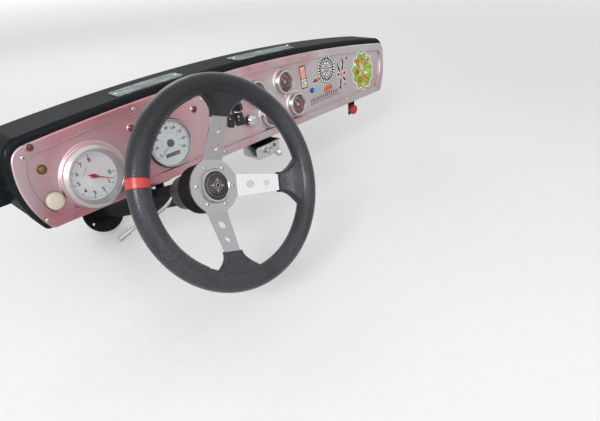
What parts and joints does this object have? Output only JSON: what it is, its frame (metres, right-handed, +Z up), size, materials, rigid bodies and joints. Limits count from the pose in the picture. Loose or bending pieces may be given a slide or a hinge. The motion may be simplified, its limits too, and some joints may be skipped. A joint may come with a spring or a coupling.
{
  "type": "car dashboard with steering column and steering wheel",
  "caption": "Arched car dashboard: an aluminium panel of round instruments in a steel pan, with a raked steering column and a dished leather-covered wheel that turns.",
  "frame": {"origin": "middle of the cowl bolt line, on the forward face of the dash pan's cowl flange", "axes": "+X to the car's right along the dash, +Y to the front of the car, +Z up"},
  "size_m": [1.144, 0.6703, 0.4299],
  "materials": {
    "pan_paint": "gloss black paint",
    "panel_aluminium": "satin, lightly brushed",
    "strip": "dull, worn",
    "chrome": "polished",
    "dial_white": "matt white",
    "dial_dark": "dark red",
    "needle_red": "gloss",
    "needle_grey": "gloss",
    "needle_white": "gloss",
    "clear_glass": "clear",
    "red_lens": "gloss lens",
    "amber_lens": "gloss lens",
    "red_plastic": "gloss",
    "cream": "gloss",
    "black_plastic": "satin black",
    "black_gloss": "gloss black",
    "column_paint": "satin black",
    "steel": "bright",
    "brass": "plain bush",
    "leather": "smooth black leather",
    "red_leather": "red leather",
    "spider_aluminium": "brushed",
    "boss_rubber": "matt black, ribbed",
    "black_rubber": "matt"
  },
  "bodies": {
    "dashboard": {"amber_lamp": "amber_lens", "ball_knob": "chrome", "box_lamp": "red_lens", "column_bracket": "column_paint", "column_bushes": "brass", "column_tube": "column_paint", "corner_lamp": "red_lens", "cowl_flange": "pan_paint", "dash_shell": "pan_paint", "fascia": "panel_aluminium", "floor_plate": "column_paint", "ignition_key": "black_plastic", "ignition_lock": "chrome", "key_fob": "black_plastic", "knob_strip": "column_paint", "pull_knob": "chrome", "red_knob": "red_plastic", "red_lamps": "red_lens", "shelf_strip": "strip", "small_gauge_dials": "dial_dark", "small_gauge_glasses": "clear_glass", "small_gauge_housings": "chrome", "small_gauge_needles": "needle_white", "speedometer_dial": "dial_white", "speedometer_gasket": "black_rubber", "speedometer_glass": "clear_glass", "speedometer_housing": "chrome", "speedometer_needle": "needle_grey", "star_knob": "chrome", "starter_button": "cream", "switch_box": "chrome", "tach_dial": "dial_white", "tach_glass": "clear_glass", "tach_housing": "chrome", "tach_needle": "needle_red", "turn_signal_arm": "steel", "turn_signal_housing": "black_plastic"},
    "steering": {"steering_shaft": "steel", "hub_boss": "boss_rubber", "wheel_spider": "spider_aluminium", "wheel_rim": "leather", "centre_band": "red_leather", "horn_ring": "spider_aluminium", "horn_button": "black_gloss"}
  },
  "joints": [
    {"name": "steering", "type": "hinge", "parent": "dashboard", "child": "steering", "pos_m": [-0.312, -0.26512, -0.08806], "axis": [0, -0.9198, 0.3923], "range_deg": [-545, 405]}
  ]
}
